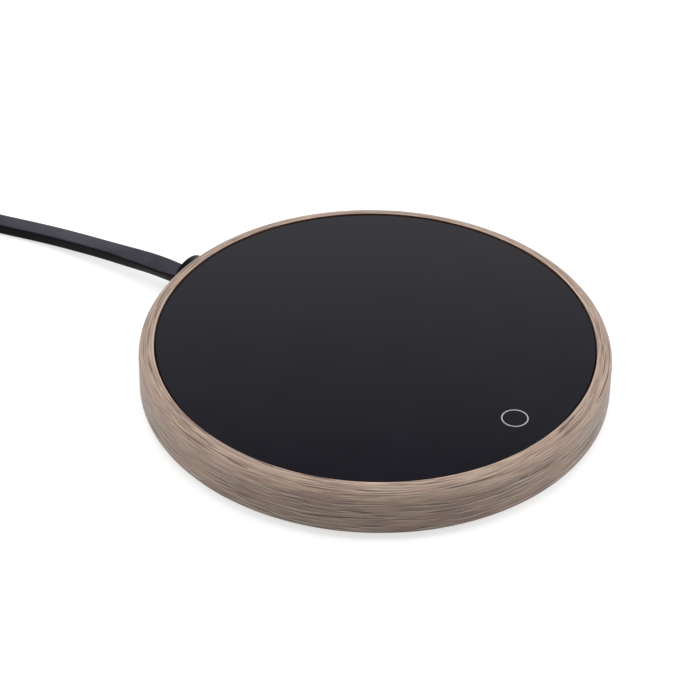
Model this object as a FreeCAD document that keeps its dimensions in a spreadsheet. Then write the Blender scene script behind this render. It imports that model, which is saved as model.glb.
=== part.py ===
# Touch-controlled electric mug warmer: a glass plate in a turned wooden ring, with a film
# heater and a crescent circuit board inside, and a flat two-core cord that ends in a plug.
# Millimetres. Origin on the table under the ring's centre, +Z up, touch mark towards -Y.
import FreeCAD, Part
import Sketcher
import math
import os
import re

V = FreeCAD.Vector

# Driving dimensions: alias, value and what it measures
SIZES = [
    ("wood_radius", 65.0, "outer radius of the wooden ring"),
    ("wood_height", 14.6, "height of the wooden ring"),
    ("rim_width", 4.25, "width of the wooden rim round the glass"),
    ("ledge_width", 5.25, "width of the ledge under the glass"),
    ("bottom_wall", 4.7, "wall of the wood round the bottom cover"),
    ("top_round", 3.5, "rounding of the ring's upper edge"),
    ("bottom_round", 1.8, "rounding of the ring's lower edge"),
    ("foot_rise", 1.4, "air under the wooden ring"),
    ("glass_gap", 0.3, "gap between the glass and the wood"),
    ("glass_thickness", 3.2, "thickness of the glass plate"),
    ("glass_drop", 0.3, "how far the glass lies below the rim"),
    ("glass_edge", 0.25, "chamfer of the glass's upper edge"),
    ("gasket_thickness", 0.3, "thickness of the glass's gasket"),
    ("gasket_width", 3.0, "width of the glass's gasket"),
    ("mark_offset", 0.25, "how far the touch mark lies outside the board's middle"),
    ("mark_radius", 3.48, "radius of the touch mark's line"),
    ("mark_line", 0.36, "width of the touch mark's line"),
    ("mark_depth", 0.1, "depth of the printed line"),
    ("base_gap", 0.3, "gap round the bottom cover"),
    ("base_thickness", 2.0, "thickness of the bottom cover"),
    ("screw_inset", 2.3, "distance of the cover's screws from the ring's bore"),
    ("base_screw_radius", 1.2, "shank radius of the cover's screws"),
    ("base_screw_length", 7.5, "length of the cover's screws"),
    ("base_head_radius", 2.1, "head radius of the cover's screws"),
    ("base_head_height", 1.2, "head height of the cover's screws"),
    ("screw_clearance", 0.3, "clearance round a screw's head and shank"),
    ("pilot_clearance", 0.05, "clearance of a screw in its pilot hole"),
    ("foot_inset", 14.0, "distance of a foot's middle from the cover's edge"),
    ("foot_radius", 6.0, "radius of a foot"),
    ("foot_sink", 0.6, "how deep a foot sits in the cover"),
    ("foot_clearance", 0.1, "clearance round a foot in its recess"),
    ("heater_gap", 4.2, "gap between the heater's sheets and the circuit board"),
    ("pad_thickness", 0.4, "thickness of the thermal pad"),
    ("spreader_thickness", 1.0, "thickness of the heat spreader"),
    ("mica_thickness", 0.3, "thickness of a mica sheet"),
    ("track_thickness", 0.2, "thickness of the heating track"),
    ("track_width", 2.2, "width of the heating track"),
    ("track_pitch", 5.4, "radial pitch of the heating track"),
    ("track_margin", 4.0, "distance of the track's outermost arc from the sheet's edge"),
    ("terminal_angle", 325.0, "direction of the heater's two tabs"),
    ("tab_spread", 4.5, "angle of each tab from that direction"),
    ("tab_length", 4.4, "how far a tab stands out of the mica"),
    ("felt_gap", 1.7, "gap between the insulation disc and the shield's screws"),
    ("insulation_thickness", 2.0, "thickness of the insulation disc"),
    ("shield_thickness", 0.6, "thickness of the heat shield"),
    ("post_inset", 2.6, "distance of the heat shield's posts from its edge"),
    ("post_radius", 2.0, "radius of a post of the cover"),
    ("small_screw_radius", 0.9, "shank radius of the small screws"),
    ("small_head_radius", 1.7, "head radius of the small screws"),
    ("small_head_height", 1.1, "head height of the small screws"),
    ("small_screw_length", 2.8, "length of a small screw in its post"),
    ("board_gap", 0.9, "gap between the circuit board and the wood"),
    ("board_width", 10.4, "width of the circuit board's crescent"),
    ("board_start", 140.0, "angle where the board starts"),
    ("board_span", 210.0, "angle that the board covers"),
    ("board_thickness", 1.6, "thickness of the circuit board"),
    ("board_rise", 2.2, "height of the board's posts"),
    ("sensor_radius", 2.1, "radius of the touch sensor's foam"),
    ("guide_wall", 1.5, "wall of the light guide"),
    ("guide_gap", 0.3, "gap between the foam and the light guide"),
    ("block_height", 4.4, "height of the terminal blocks"),
    ("mains_angle", 152.0, "direction of the mains terminal block"),
    ("mains_block_width", 8.0, "width of the mains terminal block"),
    ("socket_angle", 341.0, "direction of the thermistor's socket"),
    ("socket_length", 4.5, "length of the thermistor's socket"),
    ("sensor_bead", 1.5, "radius of the thermistor"),
    ("fuse_body_radius", 1.5, "radius of the thermal fuse"),
    ("fuse_body_length", 9.0, "length of the thermal fuse"),
    ("cord_width", 5.6, "width of the flat cord"),
    ("cord_thickness", 3.4, "thickness of the flat cord"),
    ("cord_round", 0.7, "rounding of the flat cord's edges"),
    ("gland_angle", 95.4, "direction of the cord's gland"),
    ("gland_rise", 7.7, "height of the gland's flange above the ring's lower edge"),
    ("gland_proud", 1.8, "how far the gland stands out of the wood"),
    ("gland_half_width", 6.5, "half width of the gland's flange"),
    ("gland_half_height", 4.8, "half height of the gland's flange"),
    ("neck_rise", 6.4, "height of the gland's neck above the ring's lower edge"),
    ("neck_half_width", 5.2, "half width of the gland's neck"),
    ("neck_half_height", 3.2, "half height of the gland's neck"),
    ("neck_clearance", 0.1, "clearance of the neck in the wood"),
    ("collar_length", 1.8, "length of the collar that locks the gland"),
    ("collar_overlap", 0.9, "how far the collar stands out round the neck"),
    ("collar_gap", 0.4, "gap between the collar and the bore"),
    ("cord_clearance", 0.1, "clearance of the cord in the gland"),
    ("cord_rise", 5.6, "height of the cord in the gland above the ring's lower edge"),
    ("sheath_stub", 0.6, "how far the cord's sheath reaches past its clamp"),
    ("clamp_gap", 0.6, "gap between the clamp and the gland's collar"),
    ("clamp_length", 3.6, "length of the clamp along the cord"),
    ("clamp_half_width", 7.0, "half width of the clamp"),
    ("clamp_thickness", 1.8, "thickness of the clamp's bar"),
    ("clamp_screw_offset", 4.9, "offset of a clamp screw from the cord's middle"),
    ("lead_radius", 1.0, "radius of an insulated lead"),
    ("lead_gap", 0.7, "gap between the two mains leads"),
    ("lane_gap", 1.35, "gap between the heater and the inner mains lead"),
    ("thin_lead_radius", 0.45, "radius of a thermistor lead"),
    ("coil_inner", 22.8, "radius of the coil's innermost turn"),
    ("coil_gap", 0.8, "gap between turns of the coil"),
    ("layer_gap", 0.8, "gap between the coil's two layers"),
    ("plug_width", 35.0, "width of the plug's body"),
    ("plug_length", 34.0, "length of the plug's body"),
    ("plug_thickness", 13.0, "thickness of the plug's body"),
    ("plug_round", 3.0, "rounding of the plug's body"),
    ("relief_length", 16.0, "length of the plug's tapered tail"),
    ("relief_start", 7.6, "width of the tail at the cord"),
    ("relief_end", 12.0, "width of the tail at the body"),
    ("pin_radius", 2.0, "radius of a plug pin"),
    ("pin_length", 19.0, "length of a plug pin"),
    ("pin_spacing", 18.6, "distance between the plug's pins"),
]

# Radii that follow from the driving dimensions, from the outside inwards
DERIVED = {
    "recess_radius": "wood_radius - rim_width",
    "glass_radius": "recess_radius - glass_gap",
    "wood_bore": "recess_radius - ledge_width",
    "rebate_radius": "wood_radius - bottom_wall",
    "base_radius": "rebate_radius - base_gap",
    "base_screw_circle": "wood_bore + screw_inset",
    "foot_circle": "base_radius - foot_inset",
    "board_outer": "wood_bore - board_gap",
    "board_inner": "board_outer - board_width",
    "board_circle": "board_outer - board_width / 2",
    "mark_circle": "board_circle + mark_offset",
    "heater_radius": "board_inner - heater_gap",
    "track_outer": "heater_radius - track_margin",
    "shield_post_circle": "heater_radius - post_inset",
    "insulation_radius": "shield_post_circle - small_head_radius - felt_gap",
    "clamp_circle": "wood_bore - collar_gap - collar_length - clamp_gap - clamp_length / 2",
    "sheath_end": "clamp_circle - clamp_length / 2 - sheath_stub",
    "inner_lane": "heater_radius + lane_gap + lead_radius",
    "outer_lane": "inner_lane + 2 * lead_radius + lead_gap",
}

# Spans of the stored coil, half of them in each layer, and the angle of each: a little
# under a quarter turn, so that the coil ends where its tail runs towards -Y
COIL_SPANS = 22
SPAN_ANGLE = 88.982
# Length of the coil's straight last run, which clears its turns
COIL_TAIL = 25.0

# The cord's visible stretch, from the gland to the coil, as chosen points of its middle
CORD_ROUTE = [
    (-6.29, 66.50, 7.0),
    (-7.23, 76.46, 7.0),
    (-9.45, 88.0, 6.0),
    (-11.3, 100.5, 4.3),
    (-14.2, 115.5, 2.4),
    (-19.9, 131.0, 1.7),
    (-26.6, 147.5, 1.7),
    (-33.4, 164.0, 1.7),
]

# Named heights, worked out from the driving dimensions
WOOD_BOTTOM = "foot_rise"
WOOD_TOP = "(foot_rise + wood_height)"
BASE_TOP = "(foot_rise + base_thickness)"
GLASS_TOP = f"({WOOD_TOP} - glass_drop)"
GLASS_BOTTOM = f"({GLASS_TOP} - glass_thickness)"
LEDGE = f"({GLASS_BOTTOM} - gasket_thickness)"
PAD_BOTTOM = f"({GLASS_BOTTOM} - pad_thickness)"
SPREADER_BOTTOM = f"({PAD_BOTTOM} - spreader_thickness)"
UPPER_MICA_BOTTOM = f"({SPREADER_BOTTOM} - mica_thickness)"
TRACK_BOTTOM = f"({UPPER_MICA_BOTTOM} - track_thickness)"
LOWER_MICA_BOTTOM = f"({TRACK_BOTTOM} - mica_thickness)"
INSULATION_BOTTOM = f"({LOWER_MICA_BOTTOM} - insulation_thickness)"
SHIELD_BOTTOM = f"({INSULATION_BOTTOM} - shield_thickness)"
BOARD_BOTTOM = f"({BASE_TOP} + board_rise)"
BOARD_TOP = f"({BOARD_BOTTOM} + board_thickness)"
CORD_MIDDLE = "(foot_rise + cord_rise)"
MARK_ANGLE = "270"
# How far a cutting shape reaches past what it cuts
CUT_PAST = "5"

doc = FreeCAD.newDocument("mug_warmer")
sheet = doc.addObject("Spreadsheet::Sheet", "sizes")
for row, (alias, size, meaning) in enumerate(SIZES, start=1):
    sheet.set(f"A{row}", str(size))
    sheet.setAlias(f"A{row}", alias)
    sheet.set(f"B{row}", meaning)
doc.recompute()

ALIASES = re.compile(r"\b(" + "|".join(alias for alias, size, meaning in SIZES) + r")\b")
WORKED_OUT = re.compile(r"\b(" + "|".join(DERIVED) + r")\b")
nodes = []


def spelled_out(text):
    """An expression with each derived radius written out in the sheet's own words."""
    while WORKED_OUT.search(text):
        text = WORKED_OUT.sub(lambda word: f"({DERIVED[word.group()]})", text)
    return text


def value(text):
    """The number that an expression has now."""
    return float(sheet.evalExpression(spelled_out(text)))


def linked(text):
    """The same expression as the document's other objects write it."""
    return ALIASES.sub(r"sizes.\1", spelled_out(text))


def bind(item, **sizes):
    """Bind properties to expressions; a double underscore stands for a dot."""
    for name, text in sizes.items():
        item.setExpression(name.replace("__", "."), linked(text))


def polar(radius, angle, across="0"):
    """X and Y of a point at a radius and angle, moved across that direction."""
    x = f"({radius}) * cos({angle}) - ({across}) * sin({angle})"
    y = f"({radius}) * sin({angle}) + ({across}) * cos({angle})"
    return x, y


def seat(item, x="0", y="0", z="0", turn="0"):
    bind(item, Placement__Base__x=x, Placement__Base__y=y, Placement__Base__z=z)
    bind(item, Placement__Rotation__Angle=turn)


def node(item, name):
    """Register a finished sub-part under its own label."""
    item.Label = name
    nodes.append(item)
    return item


def cylinder(name, radius, height, z, spot=("0", "0")):
    item = doc.addObject("Part::Cylinder", name)
    bind(item, Radius=radius, Height=height)
    seat(item, spot[0], spot[1], z)
    return item


def block(name, length, width, height, radius, angle, z, across="0"):
    """A box centred on a radius and angle, its length along that radius."""
    item = doc.addObject("Part::Box", name)
    bind(item, Length=length, Width=width, Height=height)
    x, y = polar(f"({radius}) - ({length}) / 2", angle, f"({across}) - ({width}) / 2")
    seat(item, x, y, z, angle)
    return item


def lying_cylinder(name, radius, length, circle, angle, z):
    """A cylinder that lies across a radius, on the height z."""
    item = doc.addObject("Part::Cylinder", name + "_round")
    bind(item, Radius=radius, Height=length)
    item.Placement = FreeCAD.Placement(V(0, 0, 0), FreeCAD.Rotation(V(1, 0, 0), 90))
    bind(item, Placement__Base__y=f"({length}) / 2", Placement__Base__z=radius)
    held = fuse(name, [item])
    x, y = polar(circle, angle)
    seat(held, x, y, z, angle)
    return held


def fuse(name, items):
    """One solid from several, or a movable copy of one."""
    item = doc.addObject("Part::MultiFuse" if len(items) > 1 else "Part::Compound", name)
    if len(items) > 1:
        item.Shapes = items
    else:
        item.Links = items
    return item


def group(name, items):
    item = doc.addObject("Part::Compound", name)
    item.Links = items
    return item


def cut(name, base, tools):
    item = doc.addObject("Part::Cut", name)
    item.Base = base
    item.Tool = tools[0] if len(tools) == 1 else group(name + "_tools", tools)
    return item


def ring(name, outer, inner, height, z, spot=("0", "0")):
    whole = cylinder(name + "_whole", outer, height, z, spot)
    hole = cylinder(name + "_hole", inner, height, z, spot)
    return cut(name, whole, [hole])


def solid_feature(name, shape):
    """A sub-part whose shape the script works out from the sheet."""
    item = doc.addObject("Part::Feature", name)
    item.Shape = shape
    item.Placement = FreeCAD.Placement()
    return node(item, name)


def origin_plane(body, role):
    return [plane for plane in body.Origin.OriginFeatures if plane.Role == role][0]


def new_sketch(body, name, role, lift="0"):
    sketch = body.newObject("Sketcher::SketchObject", name)
    sketch.AttachmentSupport = [(origin_plane(body, role), "")]
    sketch.MapMode = "FlatFace"
    bind(sketch, AttachmentOffset__Base__z=lift)
    return sketch


def locate(sketch, edge, point, x, y):
    """Fix a point of a sketch at two expressions."""
    for kind, text in (("DistanceX", x), ("DistanceY", y)):
        rule = sketch.addConstraint(Sketcher.Constraint(kind, -1, 1, edge, point, value(text)))
        sketch.setExpression(f"Constraints[{rule}]", linked(text))


def polygon_sketch(body, name, role, corners, lift="0"):
    """A closed outline of straight lines through corners given as expressions."""
    sketch = new_sketch(body, name, role, lift)
    spots = [V(value(x), value(y), 0) for x, y in corners]
    count = len(spots)
    for index in range(count):
        sketch.addGeometry(Part.LineSegment(spots[index], spots[(index + 1) % count]))
    for index in range(count):
        sketch.addConstraint(Sketcher.Constraint("Coincident", index, 2, (index + 1) % count, 1))
    for index, (x, y) in enumerate(corners):
        locate(sketch, index, 1, x, y)
    return sketch


def circle_sketch(body, name, circles, lift):
    """Circles, each (x, y, radius) as expressions, level at one height."""
    sketch = new_sketch(body, name, "XY_Plane", lift)
    for index, (x, y, radius) in enumerate(circles):
        middle = V(value(x), value(y), 0)
        sketch.addGeometry(Part.Circle(middle, V(0, 0, 1), value(radius)))
        locate(sketch, index, 3, x, y)
        rule = sketch.addConstraint(Sketcher.Constraint("Radius", index, value(radius)))
        sketch.setExpression(f"Constraints[{rule}]", linked(radius))
    return sketch


def pad(body, name, sketch, length):
    item = body.newObject("PartDesign::Pad", name)
    item.Profile = sketch
    bind(item, Length=length)
    return item


def pocket(body, name, sketch, depth, upwards=False):
    """A pocket, checked to have taken material away."""
    doc.recompute()
    before = body.Shape.Volume
    item = body.newObject("PartDesign::Pocket", name)
    item.Profile = sketch
    item.Reversed = upwards
    bind(item, Length=depth)
    doc.recompute()
    assert body.Shape.Volume < before, f"{name} cuts nothing"
    return item


def quarter_spots(circle, radius, first="0"):
    """Four equal circles on a pitch circle, a quarter turn apart."""
    return [(*polar(circle, f"({first} + {turn})"), radius) for turn in (0, 90, 180, 270)]


def turned_prism(name, half_width, half_height, start, length, rise):
    """An oval prism along X, its wide way along Y."""
    oval = doc.addObject("Part::Ellipse", name + "_oval")
    bind(oval, MajorRadius=half_width, MinorRadius=half_height)
    facing = FreeCAD.Rotation(V(0, 1, 0), V(0, 0, 1), V(1, 0, 0), "ZXY")
    oval.Placement = FreeCAD.Placement(V(0, 0, 0), facing)
    bind(oval, Placement__Base__x=start, Placement__Base__z=rise)
    prism = doc.addObject("Part::Extrusion", name)
    prism.Base = oval
    prism.DirMode = "Normal"
    prism.Solid = True
    bind(prism, LengthFwd=length)
    return prism


def bend_end(start, heading, end):
    """The middle point of the arc that leaves start along heading and reaches end."""
    chord = end - start
    along = V(chord)
    along.normalize()
    side = heading - along * heading.dot(along)
    if side.Length < 1e-7:
        return None
    half_angle = math.atan2(side.Length, heading.dot(along)) / 2
    side.normalize()
    return start + chord * 0.5 + side * (chord.Length / 2 * math.tan(half_angle))


def arc_edge(start, heading, end):
    middle = bend_end(start, heading, end)
    if middle is None:
        return Part.LineSegment(start, end).toShape()
    return Part.Arc(start, middle, end).toShape()


def route_wire(name, points):
    """Straight runs joined by tangent arcs, as large as the runs allow."""
    spots = [V(*point) for point in points]
    edges = []
    radii = []
    last = spots[0]
    for before, corner, after in zip(spots, spots[1:], spots[2:]):
        arriving = (corner - before).normalize()
        leaving = (after - corner).normalize()
        shorter = min((corner - before).Length, (after - corner).Length)
        half_turn = arriving.getAngle(leaving) / 2
        reach = 0.45 * shorter
        radii.append(round(reach / math.tan(half_turn), 1))
        start = corner - arriving * reach
        end = corner + leaving * reach
        edges.append(Part.LineSegment(last, start).toShape())
        edges.append(arc_edge(start, arriving, end))
        last = end
    edges.append(Part.LineSegment(last, spots[-1]).toShape())
    print(name, "bend radii", radii)
    return Part.Wire(edges)


def flat_section(middle, heading):
    """The flat cord's rounded outline, square to a heading, wide way level."""
    half_width = value("cord_width") / 2
    half_height = value("cord_thickness") / 2
    corner = min(value("cord_round"), half_height * 0.95)
    side = heading.cross(V(0, 0, 1)).normalize()
    up = side.cross(heading).normalize()

    def spot(across, above):
        return middle + side * across + up * above

    edges = []
    signs = [(1, 1), (-1, 1), (-1, -1), (1, -1)]
    diagonal = corner * (1 - math.sqrt(0.5))
    for index, (sx, sy) in enumerate(signs):
        nx, ny = signs[(index + 1) % 4]
        first = (sx * half_width, sy * (half_height - corner))
        second = (sx * (half_width - corner), sy * half_height)
        if sx * sy < 0:
            first, second = second, first
        bulge = (sx * (half_width - diagonal), sy * (half_height - diagonal))
        edges.append(Part.Arc(spot(*first), spot(*bulge), spot(*second)).toShape())
        following = (nx * (half_width - corner), ny * half_height)
        if nx * ny > 0:
            following = (nx * half_width, ny * (half_height - corner))
        edges.append(Part.LineSegment(spot(*second), spot(*following)).toShape())
    return Part.Wire(edges)


def sweep(name, wire, section, level=False):
    """A solid tube along a wire, its volume checked against section and length."""
    shell = Part.BRepOffsetAPI.MakePipeShell(wire)
    if level:
        shell.setBiNormalMode(V(0, 0, 1))
    shell.add(section)
    shell.build()
    shell.makeSolid()
    shape = shell.shape()
    expected = Part.Face(section).Area * wire.Length
    print(name, "length", round(wire.Length, 1), "volume against section times length",
          round(shape.Volume / expected, 4))
    return shape


def beside(reach, across, angle, height):
    """A point at a distance along a direction from the axis, and across it."""
    turn = math.radians(angle)
    along = V(math.cos(turn), math.sin(turn), 0)
    aside = V(-math.sin(turn), math.cos(turn), 0)
    return tuple(along * reach + aside * across + V(0, 0, height))


def round_lead(name, points, radius):
    """A round insulated lead through chosen points."""
    wire = route_wire(name, points)
    heading = (V(*points[1]) - V(*points[0])).normalize()
    section = Part.Wire(Part.Circle(V(*points[0]), heading, radius).toShape())
    return sweep(name, wire, section)


# The turned wooden ring, with a recess for the glass and a rebate for the bottom cover
def make_wood_ring():
    body = doc.addObject("PartDesign::Body", "wood_turning")
    outline = [("wood_bore", BASE_TOP), ("rebate_radius", BASE_TOP),
               ("rebate_radius", WOOD_BOTTOM), ("wood_radius", WOOD_BOTTOM),
               ("wood_radius", WOOD_TOP), ("recess_radius", WOOD_TOP),
               ("recess_radius", LEDGE), ("wood_bore", LEDGE)]
    sketch = polygon_sketch(body, "wood_profile", "XZ_Plane", outline)
    turning = body.newObject("PartDesign::Revolution", "wood_revolution")
    turning.Profile = sketch
    turning.ReferenceAxis = (sketch, ["V_Axis"])
    turning.Angle = 360
    doc.recompute()
    for name, height, radius in (("wood_top_round", WOOD_TOP, "top_round"),
                                 ("wood_bottom_round", WOOD_BOTTOM, "bottom_round")):
        feature = body.Tip
        rims = [f"Edge{index}" for index, edge in enumerate(feature.Shape.Edges, start=1)
                if abs(edge.BoundBox.ZMax - value(height)) < 1e-6
                and abs(edge.BoundBox.ZMin - value(height)) < 1e-6
                and abs(edge.BoundBox.XMax - value("wood_radius")) < 1e-3]
        rounding = body.newObject("PartDesign::Fillet", name)
        rounding.Base = (feature, rims)
        bind(rounding, Radius=radius)
        doc.recompute()
    pilots = quarter_spots("base_screw_circle", "(base_screw_radius + pilot_clearance)", "45")
    sketch = circle_sketch(body, "wood_pilots", pilots, BASE_TOP)
    depth = "(base_screw_length + 0.5 - base_thickness)"
    pocket(body, "wood_pilot_holes", sketch, depth, upwards=True)
    hole = turned_prism("gland_hole", "(neck_half_width + neck_clearance)",
                        "(neck_half_height + neck_clearance)", "(wood_bore - 5)",
                        "(wood_radius - wood_bore + 10)", "(foot_rise + neck_rise)")
    held = group("gland_hole_turned", [hole])
    seat(held, turn="gland_angle")
    node(cut("wood_ring", body, [held]), "wood_ring")


# The glass plate, with a shallow groove that the printed touch mark fills
def make_glass():
    plate = cylinder("glass_blank", "glass_radius", "glass_thickness", GLASS_BOTTOM)
    doc.recompute()
    edges = [(index, value("glass_edge"), value("glass_edge"))
             for index, edge in enumerate(plate.Shape.Edges, start=1)
             if edge.BoundBox.ZMin > value(GLASS_TOP) - 1e-6]
    bevel = doc.addObject("Part::Chamfer", "glass_bevel")
    bevel.Base = plate
    bevel.Edges = edges
    spot = polar("mark_circle", MARK_ANGLE)
    outer = "(mark_radius + mark_line / 2)"
    inner = "(mark_radius - mark_line / 2)"
    floor = f"({GLASS_TOP} - mark_depth)"
    groove = ring("mark_groove", outer, inner, "mark_depth", floor, spot)
    node(cut("glass_plate", bevel, [groove]), "glass_plate")
    node(ring("touch_mark_print", outer, inner, "mark_depth", floor, spot), "touch_mark_print")
    node(ring("glass_gasket", "glass_radius", "(glass_radius - gasket_width)",
              "gasket_thickness", LEDGE), "glass_gasket")


BOARD_POSTS = (165, 239, 307)


# The bottom cover, with posts for the board and the heat shield and a saddle for the cord
def make_base_cover():
    body = doc.addObject("PartDesign::Body", "base_cover")
    disc = circle_sketch(body, "base_outline", [("0", "0", "base_radius")], WOOD_BOTTOM)
    pad(body, "base_disc", disc, "base_thickness")
    posts = quarter_spots("shield_post_circle", "post_radius", "45")
    sketch = circle_sketch(body, "shield_posts", posts, BASE_TOP)
    pad(body, "shield_post_pads", sketch, f"({SHIELD_BOTTOM} - {BASE_TOP})")
    spots = [(*polar("board_circle", str(angle)), "post_radius") for angle in BOARD_POSTS]
    sketch = circle_sketch(body, "board_posts", spots, BASE_TOP)
    pad(body, "board_post_pads", sketch, "board_rise")
    near = "(clamp_circle - clamp_length / 2)"
    far = "(clamp_circle + clamp_length / 2)"
    corners = [polar(near, "gland_angle", "-clamp_half_width"),
               polar(far, "gland_angle", "-clamp_half_width"),
               polar(far, "gland_angle", "clamp_half_width"),
               polar(near, "gland_angle", "clamp_half_width")]
    sketch = polygon_sketch(body, "cord_saddle", "XY_Plane", corners, BASE_TOP)
    saddle_height = f"({CORD_MIDDLE} - cord_thickness / 2 - {BASE_TOP})"
    pad(body, "cord_saddle_pad", sketch, saddle_height)

    heads = quarter_spots("base_screw_circle", "(base_head_radius + screw_clearance / 2)", "45")
    sketch = circle_sketch(body, "screw_heads", heads, WOOD_BOTTOM)
    pocket(body, "screw_head_recesses", sketch, "base_head_height", upwards=True)
    shanks = quarter_spots("base_screw_circle", "(base_screw_radius + screw_clearance)", "45")
    sketch = circle_sketch(body, "screw_shanks", shanks, WOOD_BOTTOM)
    pocket(body, "screw_shank_holes", sketch, "base_thickness", upwards=True)
    feet = quarter_spots("foot_circle", "(foot_radius + foot_clearance)")
    sketch = circle_sketch(body, "foot_recess_outline", feet, WOOD_BOTTOM)
    pocket(body, "foot_recesses", sketch, "foot_sink", upwards=True)
    pilot = "(small_screw_radius + pilot_clearance)"
    spots = quarter_spots("shield_post_circle", pilot, "45")
    sketch = circle_sketch(body, "shield_pilots", spots, SHIELD_BOTTOM)
    pocket(body, "shield_pilot_holes", sketch, "small_screw_length")
    spots = [(*polar("board_circle", str(angle)), pilot) for angle in BOARD_POSTS]
    sketch = circle_sketch(body, "board_pilots", spots, BOARD_BOTTOM)
    pocket(body, "board_pilot_holes", sketch, "small_screw_length")
    spots = [(*polar("clamp_circle", "gland_angle", side + "clamp_screw_offset"), pilot)
             for side in ("-", "")]
    top = f"({BASE_TOP} + {saddle_height})"
    sketch = circle_sketch(body, "clamp_pilots", spots, top)
    pocket(body, "clamp_pilot_holes", sketch, "small_screw_length")
    node(body, "base_cover")


def make_feet():
    for number, (x, y, radius) in enumerate(quarter_spots("foot_circle", "foot_radius"), start=1):
        node(cylinder(f"rubber_foot_{number}", radius, "(foot_rise + foot_sink)", "0", (x, y)),
             f"rubber_foot_{number}")


# A screw that points up, its head at the bottom
def base_screw(number, spot):
    head = cylinder(f"base_head_{number}", "base_head_radius", "base_head_height",
                    WOOD_BOTTOM, spot)
    shank = cylinder(f"base_shank_{number}", "base_screw_radius",
                     "(base_screw_length - base_head_height)",
                     f"({WOOD_BOTTOM} + base_head_height)", spot)
    return fuse(f"base_screw_{number}", [head, shank])


# A small screw that points down, its head's underside at the given height
def small_screw(name, spot, height, grip):
    head = cylinder(name + "_head", "small_head_radius", "small_head_height", height, spot)
    depth = f"(small_screw_length - 0.3 + {grip})"
    shank = cylinder(name + "_shank", "small_screw_radius", depth, f"({height} - {depth})", spot)
    return fuse(name, [head, shank])


def make_screws():
    spots = quarter_spots("base_screw_circle", "0", "45")
    node(group("base_screws", [base_screw(number, (x, y))
                               for number, (x, y, unused) in enumerate(spots)]), "base_screws")
    spots = quarter_spots("shield_post_circle", "0", "45")
    top = f"({SHIELD_BOTTOM} + shield_thickness)"
    node(group("shield_screws", [small_screw(f"shield_screw_{number}", (x, y), top,
                                             "shield_thickness")
                                 for number, (x, y, unused) in enumerate(spots)]),
         "shield_screws")
    node(group("board_screws", [small_screw(f"board_screw_{angle}",
                                            polar("board_circle", str(angle)), BOARD_TOP,
                                            "board_thickness") for angle in BOARD_POSTS]),
         "board_screws")
    top = f"({CORD_MIDDLE} + cord_thickness / 2 + clamp_thickness)"
    spots = [polar("clamp_circle", "gland_angle", side + "clamp_screw_offset")
             for side in ("-", "")]
    node(group("clamp_screws", [small_screw(f"clamp_screw_{number}", spot, top,
                                            "(clamp_thickness + cord_thickness)")
                                for number, spot in enumerate(spots)]), "clamp_screws")


def sector(inner, outer, start, end, z, height):
    """A flat piece of a ring between two angles."""
    turn = end - start
    whole = Part.makeCylinder(outer, height, V(0, 0, z), V(0, 0, 1), turn)
    hole = Part.makeCylinder(inner, height, V(0, 0, z), V(0, 0, 1), turn)
    piece = whole.cut(hole)
    piece.rotate(V(0, 0, 0), V(0, 0, 1), start)
    return piece


# The heating track: arcs on either side of the terminals, stepping inwards and out again
def make_heating_track():
    width = value("track_width")
    pitch = value("track_pitch")
    outermost = value("track_outer")
    z = value(TRACK_BOTTOM)
    height = value("track_thickness")
    facing = value("terminal_angle")
    spread = value("tab_spread")
    arcs = 2 * int((outermost - width) / pitch / 2)
    pieces = []
    for side in (1, -1):
        for index in range(arcs):
            radius = outermost - pitch * index
            innermost = index == arcs - 1
            near = 0 if innermost else math.degrees((width / 2 + 1.3) / radius)
            if index == 0:
                near = spread - math.degrees(width / 2 / radius)
            far = 180 - math.degrees(1.3 / radius)
            angles = sorted((facing + side * near, facing + side * far))
            pieces.append(sector(radius - width / 2, radius + width / 2, *angles, z, height))
            if innermost:
                continue
            link = math.degrees(width / radius)
            edge = far if index % 2 == 0 else near
            inward = link if index % 2 else -link
            angles = sorted((facing + side * edge, facing + side * (edge + inward)))
            inner = radius - pitch - width / 2
            pieces.append(sector(inner, radius + width / 2, *angles, z, height))
        tab_end = value("heater_radius") + value("tab_length")
        tab = Part.makeBox(tab_end - outermost + width / 2, width, height,
                           V(outermost - width / 2, -width / 2, z))
        tab.rotate(V(0, 0, 0), V(0, 0, 1), facing + side * spread)
        pieces.append(tab)
    track = pieces[0].multiFuse(pieces[1:]).removeSplitter()
    solid_feature("heating_track", track.Solids[0])
    print("heating track solids", len(track.Solids), "arcs a side", arcs)


def make_heater():
    node(cylinder("thermal_pad", "heater_radius", "pad_thickness", PAD_BOTTOM), "thermal_pad")
    node(cylinder("heat_spreader", "heater_radius", "spreader_thickness", SPREADER_BOTTOM),
         "heat_spreader")
    node(cylinder("upper_mica_sheet", "heater_radius", "mica_thickness", UPPER_MICA_BOTTOM),
         "upper_mica_sheet")
    make_heating_track()
    node(cylinder("lower_mica_sheet", "heater_radius", "mica_thickness", LOWER_MICA_BOTTOM),
         "lower_mica_sheet")
    bead_hole = "(sensor_bead + 0.2)"
    node(ring("insulation_disc", "insulation_radius", bead_hole, "insulation_thickness",
              INSULATION_BOTTOM), "insulation_disc")
    node(cylinder("thermistor", "sensor_bead", "insulation_thickness", INSULATION_BOTTOM),
         "thermistor")
    plate = cylinder("shield_blank", "heater_radius", "shield_thickness", SHIELD_BOTTOM)
    holes = [cylinder(f"shield_hole_{number}", "(small_screw_radius + screw_clearance)",
                      "shield_thickness", SHIELD_BOTTOM, (x, y))
             for number, (x, y, unused) in enumerate(
                 quarter_spots("shield_post_circle", "0", "45"))]
    holes.append(cylinder("shield_lead_hole", "sensor_bead", "shield_thickness", SHIELD_BOTTOM))
    node(cut("heat_shield", plate, holes), "heat_shield")


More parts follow.
